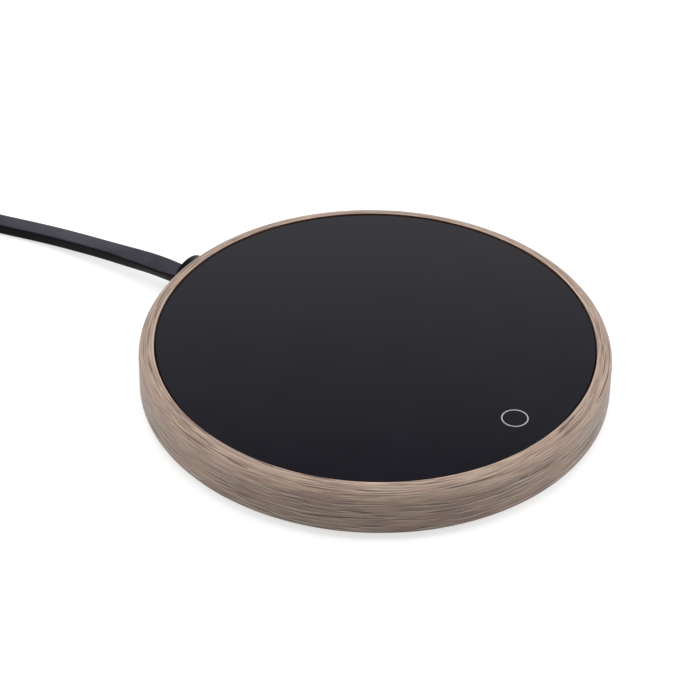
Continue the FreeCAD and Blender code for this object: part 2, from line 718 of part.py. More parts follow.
# The thermal fuse lies under the heat shield in a sheet-metal saddle
def make_thermal_fuse():
    spot = "(insulation_radius - 12)"
    under = f"({SHIELD_BOTTOM} - fuse_body_radius * 2)"
    fuse_body = lying_cylinder("thermal_fuse", "fuse_body_radius", "fuse_body_length", spot,
                               "terminal_angle", under)
    node(fuse_body, "thermal_fuse")
    wall = "0.4"
    outer = block("fuse_clip_outer", f"(fuse_body_radius * 2 + {wall} * 2 + 0.1)", "4",
                  f"(fuse_body_radius * 2 + {wall})", spot, "terminal_angle",
                  f"({under} - {wall})")
    inner = block("fuse_clip_inner", "(fuse_body_radius * 2 + 0.1)", "4",
                  "(fuse_body_radius * 2)", spot, "terminal_angle", under)
    ears = [block(f"fuse_clip_ear_{side}", "3", "4", wall,
                  f"({spot} {side} (fuse_body_radius + 1.9))", "terminal_angle",
                  f"({SHIELD_BOTTOM} - {wall})") for side in ("+", "-")]
    strap = cut("fuse_clip_strap", outer, [inner])
    node(fuse("thermal_fuse_clip", [strap] + ears), "thermal_fuse_clip")


# The crescent circuit board and everything that is soldered to it
def make_board():
    def crescent(name, radius):
        item = doc.addObject("Part::Cylinder", name)
        bind(item, Radius=radius, Height="board_thickness", Angle="board_span")
        seat(item, z=BOARD_BOTTOM, turn="board_start")
        return item

    whole = crescent("board_whole", "board_outer")
    tools = [crescent("board_inside", "board_inner")]
    for angle in BOARD_POSTS:
        tools.append(cylinder(f"board_hole_{angle}", "(small_screw_radius + screw_clearance)",
                              "board_thickness", BOARD_BOTTOM,
                              polar("board_circle", str(angle))))
    node(cut("circuit_board", whole, tools), "circuit_board")
    boxes = [
        ("mains_terminal_block", "7", "mains_block_width", "block_height", "mains_angle"),
        ("film_capacitor", "6.5", "12", "4.6", "207"),
        ("controller_chip", "5", "6", "1.5", "254"),
        ("power_switch", "6.5", "9.5", "2.6", "290"),
        ("heater_terminal_block", "7", "9.5", "block_height", "terminal_angle"),
        ("thermistor_socket", "socket_length", "5", "3.4", "socket_angle"),
    ]
    for name, length, width, height, angle in boxes:
        node(block(name, length, width, height, "board_circle", angle, BOARD_TOP), name)
    node(lying_cylinder("board_fuse", "1.8", "8", "board_circle", "178", BOARD_TOP), "board_fuse")
    node(cylinder("varistor", "3.4", "3.2", BOARD_TOP, polar("board_circle", "191")), "varistor")
    node(lying_cylinder("smoothing_capacitor", "2.2", "9", "board_circle", "225", BOARD_TOP),
         "smoothing_capacitor")


# Touch sensor foam, its light guide and the indicator light, under the touch mark
def make_touch_sensor():
    spot = polar("mark_circle", MARK_ANGLE)
    reach = f"({GLASS_BOTTOM} - {BOARD_TOP})"
    node(cylinder("touch_sensor_foam", "sensor_radius", reach, BOARD_TOP, spot),
         "touch_sensor_foam")
    inner = "(sensor_radius + guide_gap)"
    light_height = "0.7"
    node(ring("light_guide", f"({inner} + guide_wall)", inner, f"({reach} - {light_height})",
              f"({BOARD_TOP} + {light_height})", spot), "light_guide")
    node(block("indicator_light", "1.0", "1.4", light_height, "mark_circle", MARK_ANGLE,
               BOARD_TOP, f"({inner} + guide_wall / 2)"), "indicator_light")


# The cord's gland: a flange on the wood, a neck through it and a collar that locks it inside
def make_gland():
    face = "(wood_radius + gland_proud)"
    back = f"(wood_radius - {CUT_PAST})"
    inner_end = "(wood_bore - collar_gap - collar_length)"
    neck_middle = "(foot_rise + neck_rise)"
    flange = turned_prism("gland_flange", "gland_half_width", "gland_half_height", back,
                          f"({face} - {back})", "(foot_rise + gland_rise)")
    wood = cylinder("gland_wood", "wood_radius", f"(wood_height + 2 * {CUT_PAST})",
                    f"(foot_rise - {CUT_PAST})")
    outside = cut("gland_outside", flange, [wood])
    neck = turned_prism("gland_neck", "neck_half_width", "neck_half_height", inner_end,
                        f"(wood_radius + gland_proud / 2 - {inner_end})", neck_middle)
    collar = turned_prism("gland_collar", "(neck_half_width + collar_overlap)",
                          "(neck_half_height + collar_overlap)", inner_end, "collar_length",
                          neck_middle)
    solid = fuse("gland_solid", [outside, neck, collar])
    bore = doc.addObject("Part::Box", "gland_bore")
    bind(bore, Length=f"({face} - {inner_end} + 2 * {CUT_PAST})", Width="(cord_width + 2 * cord_clearance)",
         Height="(cord_thickness + 2 * cord_clearance)")
    seat(bore, f"({inner_end} - {CUT_PAST})", "-(cord_width / 2 + cord_clearance)",
         f"({CORD_MIDDLE} - cord_thickness / 2 - cord_clearance)")
    gland = cut("cord_gland", solid, [bore])
    seat(gland, turn="gland_angle")
    node(gland, "cord_gland")


def make_clamp():
    bar = block("clamp_blank", "clamp_length", "(clamp_half_width * 2)", "clamp_thickness",
                "clamp_circle", "gland_angle", f"({CORD_MIDDLE} + cord_thickness / 2)")
    holes = [cylinder(f"clamp_hole_{number}", "(small_screw_radius + screw_clearance)",
                      "clamp_thickness", f"({CORD_MIDDLE} + cord_thickness / 2)",
                      polar("clamp_circle", "gland_angle", side + "clamp_screw_offset"))
             for number, side in enumerate(("-", ""))]
    node(cut("cord_clamp_bar", bar, holes), "cord_clamp_bar")


# The sheath's end inside, and the leads that leave it for the terminal block
def make_inner_leads():
    turn = math.radians(value("gland_angle"))
    outward = V(math.cos(turn), math.sin(turn), 0)
    middle = value(CORD_MIDDLE)
    start = outward * value("sheath_end") + V(0, 0, middle)
    length = value("wood_radius + gland_proud - sheath_end")
    sheath = Part.Face(flat_section(start, outward)).extrude(outward * length)
    solid_feature("cord_inner_end", sheath)

    circle = value("board_circle")
    end = value("sheath_end")
    gland = value("gland_angle")
    level = value(BOARD_TOP) + 2.2
    lead = value("lead_radius")
    facing = value("mains_angle")
    for name, side in (("live_lead", -1), ("neutral_lead", 1)):
        lane = value("inner_lane" if side < 0 else "outer_lane")
        core = side * 1.5
        points = [beside(end, core, gland, middle),
                  beside(lane + 1.7, core, gland, middle),
                  beside(lane, core + 2.6, gland, middle),
                  beside(lane, 0, gland + 17, middle + 0.9),
                  beside(lane + 2.2, 0, gland + 33, level - 0.4),
                  beside(circle + side * 1.7, -10, facing, level),
                  beside(circle + side * 1.7, -value("mains_block_width") / 2, facing, level)]
        solid_feature(name, round_lead(name, points, lead))

    facing = value("terminal_angle")
    spread = value("tab_spread")
    tab_end = value("heater_radius + tab_length")
    thin = 0.7
    z = value(TRACK_BOTTOM) - thin
    for number, side in enumerate((-1, 1), start=1):
        turn = math.radians(facing + side * spread)
        along = V(math.cos(turn), math.sin(turn), 0)
        inner = tab_end - 2.4
        outer = (circle - 3.5) / math.cos(math.radians(spread))
        spot = along * inner + V(0, 0, z)
        wire = Part.makeCylinder(thin, outer - inner - 0.05, spot, along)
        solid_feature(f"heater_lead_{number}", wire)

    thin = value("thin_lead_radius")
    under = value(SHIELD_BOTTOM) - 1.5
    level = value(BOARD_TOP) + 1.7
    facing = value("socket_angle")
    face = circle - value("socket_length") / 2
    strands = []
    for across in (-0.6, 0.6):
        edge = value("heater_radius")
        rises = [(0, value(INSULATION_BOTTOM)), (0, under), (edge / 5, under - 0.4),
                 (edge * 3 / 5, under - 0.4), (edge - 0.7, under), (edge + 3.0, level),
                 (face, level)]
        points = [beside(reach, across, facing, height) for reach, height in rises]
        strands.append(round_lead("thermistor_lead", points, thin))
    solid_feature("thermistor_leads", Part.makeCompound(strands))


def coil_spot(span, centre, first_angle):
    """A point of the coil's middle line: spiral in, climb a layer, spiral out."""
    middle = COIL_SPANS / 2
    pitch = value("cord_width + coil_gap")
    radius = value("coil_inner") + pitch * abs(span - middle) / 4
    climb = min(max((span - middle + 1) / 2, 0), 1)
    climb *= climb * (3 - 2 * climb)
    height = value("cord_thickness / 2") + value("cord_thickness + layer_gap") * climb
    turn = first_angle + math.radians(SPAN_ANGLE) * span
    return V(centre.x + radius * math.cos(turn), centre.y + radius * math.sin(turn), height)


def coil_heading(span, centre, first_angle):
    if span in (0, COIL_SPANS):
        turn = first_angle + math.radians(SPAN_ANGLE) * span
        return V(-math.sin(turn), math.cos(turn), 0)
    step = 0.05
    ahead = coil_spot(span + step, centre, first_angle)
    heading = ahead - coil_spot(span - step, centre, first_angle)
    if span != COIL_SPANS / 2:
        heading.z = 0
    return heading.normalize()


def biarc(start, leaving, end, arriving):
    """Two tangent arcs from one point and heading to another."""
    chord = end - start
    total = leaving + arriving
    spread = 2 * (1 - leaving.dot(arriving))
    along = chord.dot(total)
    reach = (-along + math.sqrt(along * along + spread * chord.dot(chord))) / spread
    middle = (start + end + (leaving - arriving) * reach) * 0.5
    first = arc_edge(start, leaving, middle)
    back = arc_edge(end, arriving * -1, middle)
    heading = (middle - (start + leaving * reach)).normalize()
    second = arc_edge(middle, heading, end)
    assert abs(second.Length - back.Length) < 1e-4
    return [first, second]


def least_gap(spots):
    """The least gap of the flat cord to itself, on points more than half a turn apart."""
    half_width = value("cord_width") / 2
    half_height = value("cord_thickness") / 2
    corner = value("cord_round")
    least = 1e9
    half_turn = len(spots) // (COIL_SPANS // 2)
    for index, one in enumerate(spots):
        for other in spots[index + half_turn:]:
            level = math.hypot(one.x - other.x, one.y - other.y) - 2 * (half_width - corner)
            upright = abs(one.z - other.z) - 2 * (half_height - corner)
            gap = math.hypot(max(level, 0), max(upright, 0)) - 2 * corner
            least = min(least, gap)
    return least


# The cord outside: the stretch that lies on the table, and the coil of what is left over
def make_cord():
    route = [V(*point) for point in CORD_ROUTE]
    wire = route_wire("cord", CORD_ROUTE)
    heading = (route[1] - route[0]).normalize()
    stretch = sweep("cord", wire, flat_section(route[0], heading), level=True)
    solid_feature("power_cord", stretch)

    heading = (route[-1] - route[-2]).normalize()
    left = V(-heading.y, heading.x, 0)
    entry = route[-1] + heading * value("cord_width")
    outermost = value("coil_inner") + value("cord_width + coil_gap") * COIL_SPANS / 8
    centre = entry + left * outermost
    first_angle = math.atan2(entry.y - centre.y, entry.x - centre.x)
    edges = [Part.LineSegment(route[-1], entry).toShape()]
    for span in range(COIL_SPANS):
        edges += biarc(coil_spot(span, centre, first_angle),
                       coil_heading(span, centre, first_angle),
                       coil_spot(span + 1, centre, first_angle),
                       coil_heading(span + 1, centre, first_angle))
    last = coil_spot(COIL_SPANS, centre, first_angle)
    leaving = coil_heading(COIL_SPANS, centre, first_angle)
    end = last + leaving * COIL_TAIL
    edges.append(Part.LineSegment(last, end).toShape())
    turns = [spot for edge in edges[1:-1] for spot in edge.discretize(13)[:-1]]
    print("coil's least gap to itself", round(least_gap(turns), 2))
    winding = Part.Wire(edges)
    coil = sweep("coil", winding, flat_section(route[-1], heading))
    solid_feature("cord_coil", coil)
    print("coil centre", centre, "entry", entry, "first angle", math.degrees(first_angle))
    print("cord's whole length", round(wire.Length + winding.Length, 1))
    return end, leaving


# The moulded plug: a tapered tail that takes the cord, a flat body and two round pins
def make_plug(start, heading):
    turn = math.degrees(math.atan2(heading.y, heading.x)) - 90
    place = FreeCAD.Placement(V(start.x, start.y, 0), FreeCAD.Rotation(V(0, 0, 1), turn))
    rise = value("cord_thickness * 1.5 + layer_gap")
    tail = doc.addObject("Part::Wedge", "plug_tail")
    bind(tail, Xmin="-relief_start / 2", Xmax="relief_start / 2", Ymin="0",
         Ymax="(relief_length + plug_round)", Zmin=f"{rise} - cord_thickness / 2 - 1",
         Zmax=f"{rise} + cord_thickness / 2 + 1", X2min="-relief_end / 2",
         X2max="relief_end / 2", Z2min=f"{rise} - 4", Z2max=f"{rise} + 4")
    brick = doc.addObject("Part::Box", "plug_brick")
    bind(brick, Length="plug_width", Width="plug_length", Height="plug_thickness")
    bind(brick, Placement__Base__x="-plug_width / 2", Placement__Base__y="relief_length")
    doc.recompute()
    rounding = doc.addObject("Part::Fillet", "plug_rounding")
    rounding.Base = brick
    radius = min(value("plug_round"), value("plug_thickness") * 0.45)
    rounding.Edges = [(index, radius, radius) for index in range(1, 13)]
    body = fuse("plug_body", [tail, rounding])
    body.Placement = place
    node(body, "plug_body")
    pins = []
    for side in ("-", ""):
        pin = doc.addObject("Part::Cylinder", "plug_pin" + side.replace("-", "_left"))
        bind(pin, Radius="pin_radius", Height="pin_length")
        pin.Placement = FreeCAD.Placement(V(0, 0, 0), FreeCAD.Rotation(V(1, 0, 0), -90))
        bind(pin, Placement__Base__x=side + "pin_spacing / 2",
             Placement__Base__y="(relief_length + plug_length)",
             Placement__Base__z="plug_thickness / 2")
        pins.append(pin)
    both = group("plug_pins", pins)
    both.Placement = place
    node(both, "plug_pins")


make_wood_ring()
make_glass()
make_base_cover()
make_feet()
make_screws()
make_heater()
make_thermal_fuse()
make_board()
make_touch_sensor()
make_gland()
make_clamp()
make_inner_leads()
make_plug(*make_cord())

doc.recompute()
for item in doc.Objects:
    assert "Invalid" not in item.State and "Error" not in item.State, f"{item.Name} failed"
for item in nodes:
    assert not item.Shape.isNull() and item.Shape.isValid(), f"{item.Label} has no valid shape"

os.makedirs("parts", exist_ok=True)
for item in nodes:
    item.Shape.exportStep(f"parts/{item.Label}.step")
print(len(nodes), "nodes")
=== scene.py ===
"""An electric mug warmer: a wooden ring round a black glass plate, with a heater and a board
inside and a flat mains cord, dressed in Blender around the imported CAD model."""
import math

import bpy
import numpy as np
from mathutils import Matrix, Vector


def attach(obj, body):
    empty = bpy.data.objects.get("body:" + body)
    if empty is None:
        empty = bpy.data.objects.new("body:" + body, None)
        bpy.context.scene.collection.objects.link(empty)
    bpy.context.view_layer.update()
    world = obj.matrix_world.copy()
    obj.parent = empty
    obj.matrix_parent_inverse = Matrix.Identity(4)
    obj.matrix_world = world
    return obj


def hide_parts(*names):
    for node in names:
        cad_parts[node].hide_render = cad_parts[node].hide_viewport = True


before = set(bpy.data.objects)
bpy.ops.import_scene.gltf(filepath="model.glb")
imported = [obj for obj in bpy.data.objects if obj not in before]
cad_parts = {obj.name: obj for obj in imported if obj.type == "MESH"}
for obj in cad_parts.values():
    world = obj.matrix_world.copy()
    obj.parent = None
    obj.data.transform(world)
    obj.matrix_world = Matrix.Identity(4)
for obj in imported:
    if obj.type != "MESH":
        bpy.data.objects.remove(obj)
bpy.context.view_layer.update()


# Camera
# The view is from above and to the left of the touch mark, through a long lens, and the
# picture is turned by about one degree.

# Metres for the eye and the clipping, and millimetres for the lens and the sensor
EYE = (-0.46095, -0.40278, 0.47996)
LOOK = (0.59232, 0.52959, -0.60720)
ROLL = math.radians(0.952)
LENS = 144.0
SENSOR = 36.0
NEAR, FAR = 0.01, 50.0

look = np.array(LOOK) / np.linalg.norm(LOOK)
level = np.cross(look, (0, 0, 1))
level /= np.linalg.norm(level)
down = np.cross(look, level)
right = level * math.cos(ROLL) - down * math.sin(ROLL)
drop = level * math.sin(ROLL) + down * math.cos(ROLL)
camera_data = bpy.data.cameras.new("camera")
camera_data.lens = LENS
camera_data.sensor_width = SENSOR
camera_data.clip_start = NEAR
camera_data.clip_end = FAR
camera = bpy.data.objects.new("camera", camera_data)
bpy.context.scene.collection.objects.link(camera)
turned = np.eye(4)
turned[:3, :4] = np.column_stack([right, -drop, -look, EYE])
camera.matrix_world = Matrix(turned.tolist())
bpy.context.scene.camera = camera


# Power cord
# A flat two-core mains lead, 5.6 by 3.4 mm, with an extruded black PVC sheath. It leaves the
# gland level, drops to the table in a long curve, and its unseen length is wound in a flat
# coil of two layers, wide side down, with the plug lying beside it.
BODY = "root"
MM = 0.001
# In millimetres, but for the length, which is in metres
CORD_WIDTH = 5.6
CORD_THICKNESS = 3.4
CORD_ROUND = 0.7
CORD_ROUTE = [(-6.29, 66.50, 7.0), (-7.23, 76.46, 6.7), (-9.45, 88.0, 5.65),
              (-11.3, 100.5, 4.05), (-14.2, 115.5, 2.3), (-19.9, 131.0, 1.7),
              (-26.6, 147.5, 1.7), (-33.4, 164.0, 1.7)]
# The coil goes in spans of a little under a quarter turn, each of a few points
COIL_SPANS = 22
SPANS_A_TURN = 4
SPAN_ANGLE = math.radians(88.982)
SPAN_STEPS = 6
COIL_INNER = 22.8
COIL_PITCH = 6.4
LAYER_RISE = 4.2
COIL_TAIL = 25.0
# The cord rolls towards its bend near the gland: how far, how far along it is rolled the
# most, and how far along it is level again
ROLL_MOST = math.radians(20)
MOST_ROLLED = 9.0
LEVEL_AGAIN = 32.0
LINE_STEPS = 8
CORNER_STEPS = 5
SHARP_ANGLE = math.radians(50)


def add(tree, kind, inputs=(), stops=(), **settings):
    """Adds one shader node of a kind, sets its properties, and fills its sockets: a socket
    of another node is linked, and anything else is written as the value. A colour ramp's
    stops are its (position, linear colour) pairs, in rising order."""
    made = tree.nodes.new("ShaderNode" + kind)
    for name, setting in settings.items():
        setattr(made, name, setting)
    for socket, content in dict(inputs).items():
        if isinstance(content, bpy.types.NodeSocket):
            tree.links.new(content, made.inputs[socket])
        else:
            made.inputs[socket].default_value = content
    for number, (position, tone) in enumerate(stops):
        elements = made.color_ramp.elements
        element = elements[number] if number < len(elements) else elements.new(position)
        element.position = position
        element.color = tone
    return made


def colour(code):
    """An sRGB hex value as linear red, green, blue and alpha: each channel over 12.92 below
    0.04045, and otherwise the power 2.4 of the channel plus 0.055 over 1.055."""
    channels = np.array([int(code[i:i + 2], 16) for i in (0, 2, 4)]) / 255
    linear = np.where(channels <= 0.04045, channels / 12.92, ((channels + 0.055) / 1.055) ** 2.4)
    return (*linear.tolist(), 1.0)


def material(name, roughness, ior=1.5, metallic=0.0):
    """A new material of one Principled shader: (material, its nodes, the shader)."""
    made = bpy.data.materials.new(name)
    made.use_nodes = True
    tree = made.node_tree
    shader = tree.nodes["Principled BSDF"]
    shader.inputs["Roughness"].default_value = roughness
    shader.inputs["IOR"].default_value = ior
    shader.inputs["Metallic"].default_value = metallic
    return made, tree, shader


def flat_outline():
    """The cord's outline, counter-clockwise: four quarter circles of the corner radius
    about centres one radius in from the sides of the width by thickness box."""
    quarter = np.linspace(0, math.pi / 2, CORNER_STEPS)
    angles = np.concatenate([quarter + k * math.pi / 2 for k in range(4)])
    sides = np.repeat([[1, 1], [-1, 1], [-1, -1], [1, -1]], CORNER_STEPS, axis=0)
    centre = sides * (np.array([CORD_WIDTH, CORD_THICKNESS]) / 2 - CORD_ROUND)
    return (centre + CORD_ROUND * np.column_stack([np.cos(angles), np.sin(angles)])) * MM


def eased(amount):
    """A step with level ends: u * u * (3 - 2 * u) of the amount held between 0 and 1."""
    held = np.clip(amount, 0, 1)
    return held * held * (3 - 2 * held)


def coil_points():
    """The coil's points: the radius falls by one pitch every four spans to the middle and
    grows again after it, and the height eases from the lower layer to the upper one there
    by u * u * (3 - 2 * u). The last point is the tail's end, straight on to the plug."""
    span = np.linspace(0, COIL_SPANS, COIL_SPANS * SPAN_STEPS + 1)
    end = np.array(CORD_ROUTE[-1])
    heading = end - np.array(CORD_ROUTE[-2])
    heading /= np.linalg.norm(heading)
    entry = end + heading * CORD_WIDTH
    middle = COIL_SPANS / 2
    outermost = COIL_INNER + COIL_PITCH * middle / SPANS_A_TURN
    centre = entry + np.cross((0, 0, 1), heading) * outermost
    first = math.atan2(entry[1] - centre[1], entry[0] - centre[0])
    radius = COIL_INNER + COIL_PITCH * np.abs(span - middle) / SPANS_A_TURN
    angle = first + span * SPAN_ANGLE
    height = CORD_THICKNESS / 2 + LAYER_RISE * eased((span - middle + 1) / 2)
    turns = np.column_stack([centre[0] + radius * np.cos(angle),
                             centre[1] + radius * np.sin(angle), height])
    leaving = np.array([-math.sin(angle[-1]), math.cos(angle[-1]), 0])
    return np.vstack([turns, turns[-1] + leaving * COIL_TAIL])


def smooth_line(points):
    """Points on the cord's smooth line, a NURBS spline of order 3 with these control points,
    as Blender gives them for a curve with no bevel."""
    curve = bpy.data.curves.new("cord_line", "CURVE")
    curve.dimensions = "3D"
    curve.resolution_u = LINE_STEPS
    spline = curve.splines.new("NURBS")
    spline.points.add(len(points) - 1)
    spline.points.foreach_set("co", np.column_stack([points, np.ones(len(points))]).ravel())
    spline.order_u = 3
    spline.use_endpoint_u = True
    carrier = bpy.data.objects.new("cord_line", curve)
    bpy.context.scene.collection.objects.link(carrier)
    bpy.context.view_layer.update()
    line = bpy.data.meshes.new_from_object(carrier)
    spots = np.zeros(len(line.vertices) * 3)
    line.vertices.foreach_get("co", spots)
    bpy.data.objects.remove(carrier)
    bpy.data.curves.remove(curve)
    bpy.data.meshes.remove(line)
    return spots.reshape(-1, 3)


def cord_roll(along):
    """How far the cord rolls towards its bend at a distance along it: it eases up to the
    most, and then back to level while the cord still drops to the table."""
    travelled = along / MM
    return ROLL_MOST * eased(travelled / MOST_ROLLED) * (
        1 - eased((travelled - MOST_ROLLED) / (LEVEL_AGAIN - MOST_ROLLED)))


def swept_piece(name, line, outline):
    """A closed tube: at each point of the line the outline stands square to the heading,
    its width along heading cross up and its height square to both, turned by the cord's
    roll. The UV map holds metres along the line and metres round the outline."""
    heading = np.gradient(line, axis=0)
    heading /= np.linalg.norm(heading, axis=1)[:, None]
    side = np.cross(heading, (0, 0, 1))
    side /= np.linalg.norm(side, axis=1)[:, None]
    up = np.cross(side, heading)
    along = np.concatenate([[0], np.cumsum(np.linalg.norm(np.diff(line, axis=0), axis=1))])
    roll = cord_roll(along)[:, None]
    side, up = side * np.cos(roll) + up * np.sin(roll), up * np.cos(roll) - side * np.sin(roll)
    shell = line[:, None] + side[:, None] * outline[:, :1] + up[:, None] * outline[:, 1:]
    count, points = len(line), len(outline)
    i, j = np.meshgrid(np.arange(count - 1), np.arange(points), indexing="ij")
    following = (j + 1) % points
    quads = np.stack([i * points + j, (i + 1) * points + j,
                      (i + 1) * points + following, i * points + following], axis=-1)
    ends = [list(range(points)), list(range(count * points - 1, (count - 1) * points - 1, -1))]
    mesh = bpy.data.meshes.new(name)
    mesh.from_pydata(shell.reshape(-1, 3).tolist(), [], quads.reshape(-1, 4).tolist() + ends)
    steps = np.linalg.norm(np.roll(outline, -1, axis=0) - outline, axis=1)
    around = np.concatenate([[0], np.cumsum(steps)])
    corners = np.stack([np.stack([along[i], around[j]], -1),
                        np.stack([along[i + 1], around[j]], -1),
                        np.stack([along[i + 1], around[j + 1]], -1),
                        np.stack([along[i], around[j + 1]], -1)], axis=2).reshape(-1, 2)
    caps = np.vstack([outline, outline])
    mesh.uv_layers.new(name="sheath").data.foreach_set("uv", np.vstack([corners, caps]).ravel())
    mesh.polygons.foreach_set("use_smooth", [True] * len(mesh.polygons))
    mesh.set_sharp_from_angle(angle=SHARP_ANGLE)
    made = bpy.data.objects.new(name, mesh)
    bpy.context.scene.collection.objects.link(made)
    return made


# Extruded PVC: violet-black and satin, with faint lines along the sheath where it was drawn
# through the die, and painted light making what faces up lighter, as lit from above. Its IOR
# is low, so its shine is dull all over.
SHEATH_ROUGHNESS = (0.30, 0.42)
# Length and width of a drawn line and its depth, in millimetres. Real ones are about 0.05 mm
# wide, and are drawn coarser to show.
DRAWN_LINE = (25.0, 0.25)
LINE_DEPTH = 0.03
MOTTLE_PER_METRE = 120.0
# How far up a face points where the painted light begins and where it is full
FACING_UP = (0.55, 0.95)
BARE_SHEATH = [(0.35, colour("09080c")), (0.7, colour("0e0c12"))]
# Painted light: the sheath's tones where it faces up, much lighter than its own
PAINTED_LIT_SHEATH = [(0.35, colour("3e3c45")), (0.7, colour("4b4952"))]
pvc, tree, shader = material("extruded_pvc", 0.36, ior=1.16)
run = add(tree, "UVMap", uv_map="sheath").outputs["UV"]
line_scale = (1 / (DRAWN_LINE[0] * MM), 1 / (DRAWN_LINE[1] * MM), 1)
drawn = add(tree, "Mapping", {"Vector": run, "Scale": line_scale}).outputs["Vector"]
lines = add(tree, "TexNoise", {"Vector": drawn, "Scale": 1.0, "Detail": 2.0}).outputs["Fac"]
where = add(tree, "TexCoord").outputs["Object"]
mottle = add(tree, "TexNoise", {"Vector": where, "Scale": MOTTLE_PER_METRE, "Detail": 3.0}
            ).outputs["Fac"]
facing = add(tree, "SeparateXYZ", {0: add(tree, "NewGeometry").outputs["Normal"]}).outputs["Z"]
upward = add(tree, "MapRange", {"Value": facing, "From Min": FACING_UP[0],
                                "From Max": FACING_UP[1]}).outputs["Result"]
bare = add(tree, "ValToRGB", {"Fac": mottle}, stops=BARE_SHEATH).outputs["Color"]
painted_lit_sheath = add(tree, "ValToRGB", {"Fac": mottle}, stops=PAINTED_LIT_SHEATH).outputs["Color"]
# Painted light: faces that point up are mixed towards the lighter tones
sheath = add(tree, "Mix", {0: upward, 6: bare, 7: painted_lit_sheath}, data_type="RGBA").outputs[2]
tree.links.new(sheath, shader.inputs["Base Color"])
tree.links.new(add(tree, "MapRange", {"Value": mottle, "To Min": SHEATH_ROUGHNESS[0],
                                      "To Max": SHEATH_ROUGHNESS[1]}).outputs["Result"],
               shader.inputs["Roughness"])
tree.links.new(add(tree, "Bump", {"Height": lines, "Strength": 0.5, "Distance": LINE_DEPTH * MM}
                   ).outputs["Normal"], shader.inputs["Normal"])

cord_points = np.vstack([np.array(CORD_ROUTE), coil_points()]) * MM
cord_line = smooth_line(cord_points)
power_lead = swept_piece("power_lead", cord_line, flat_outline())
power_lead.data.materials.append(pvc)
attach(power_lead, BODY)
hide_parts("power_cord", "cord_coil")


def dress(made, *nodes):
    """Gives a material to CAD nodes."""
    for name in nodes:
        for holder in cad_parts[name].material_slots:
            holder.material = made


dress(pvc, "cord_inner_end")


# Plug, gland and base cover
# The plug is moulded onto the cord with a tapered relief, and the gland and the cover are
# injection moulded ABS with a fine spark-eroded texture. The clamp bar is of the same ABS.
NOISE_LOW, NOISE_HIGH = 0.3, 0.7
ROUGHNESS_SWING = 0.05


def textured(name, dark, light, roughness, grain, relief, ior=1.5, metallic=0.0,
             stretch=(1, 1, 1), detail=3.0):
    """A surface whose colour, roughness and height follow one noise: its grain is the size
    of a spot in millimetres, stretched by three factors, and relief its height in them."""
    made, tree, shader = material(name, roughness, ior, metallic)
    where = add(tree, "TexCoord").outputs["Object"]
    scaled = add(tree, "Mapping", {"Vector": where, "Scale": [1 / s for s in stretch]})
    spots = add(tree, "TexNoise", {"Vector": scaled.outputs["Vector"],
                                   "Scale": 1 / (grain * MM), "Detail": detail}).outputs["Fac"]
    tones = [(NOISE_LOW, colour(dark)), (NOISE_HIGH, colour(light))]
    tree.links.new(add(tree, "ValToRGB", {"Fac": spots}, stops=tones).outputs["Color"],
                   shader.inputs["Base Color"])
    tree.links.new(add(tree, "MapRange", {"Value": spots, "From Min": NOISE_LOW,
                                          "From Max": NOISE_HIGH,
                                          "To Min": roughness - ROUGHNESS_SWING,
                                          "To Max": roughness + ROUGHNESS_SWING}
                       ).outputs["Result"], shader.inputs["Roughness"])
    tree.links.new(add(tree, "Bump", {"Height": spots, "Strength": 1.0,
                                      "Distance": relief * MM}).outputs["Normal"],
                   shader.inputs["Normal"])
    return made


# Spark-eroded ABS: near black and satin, with a texture of about 0.4 mm.
dress(textured("moulded_abs", "0b0a0c", "131215", roughness=0.42, grain=0.4, relief=0.012,
               ior=1.3), "base_cover", "cord_gland", "cord_clamp_bar")
# Overmoulded PVC: a little greyer and rougher than the cord's sheath.
dress(textured("moulded_pvc", "19181b", "222125", roughness=0.46, grain=0.6, relief=0.01),
      "plug_body")
# Nickel-plated brass: bright, with the fine lines of turning and of use.
dress(textured("nickel_plate", "b9b4a8", "d0ccc2", roughness=0.24, grain=0.5, relief=0.003,
               metallic=1.0, stretch=(0.3, 3, 1)), "plug_pins")


# Wooden ring
# A ring turned from pale open-grained wood, weathered grey-brown, with its top edges
# rounded. The fibres and the open pores run round it, and it carries every other piece.

# In millimetres
RING_RADIUS = 65.0
RECESS_RADIUS = 60.75
RING_BOTTOM = 1.4
SIDE_TOP = 12.5
# The rounded top edge was sanded smoother, and is painted lighter as lit from above, down to
# a line that wavers by half a millimetre
SANDED_LIT_BAND = (12.6, 13.1)
WAVER_REACH = 0.5
# How far out from the recess each fades, from and to: its painted shade, and its painted
# highlight along the edge
RECESS_SHADE = (0.02, 0.06)
EDGE_HIGHLIGHT = (0.1, 0.6)
# Length along the ring and width across it of each mark. Real pores are 0.1 to 0.3 mm wide
# and real fibres finer, and both are drawn coarser to show.
PATCH = (13, 2.0)
FIBRE = (9, 0.36)
PORE = (11, 0.52)
CRACK = (24, 0.9)
WAVER = (18, 6.0)
# How far a painted highlight lies from its pore, and how deep the relief is
HIGHLIGHT_SHIFT = 0.38
RELIEF = 0.08


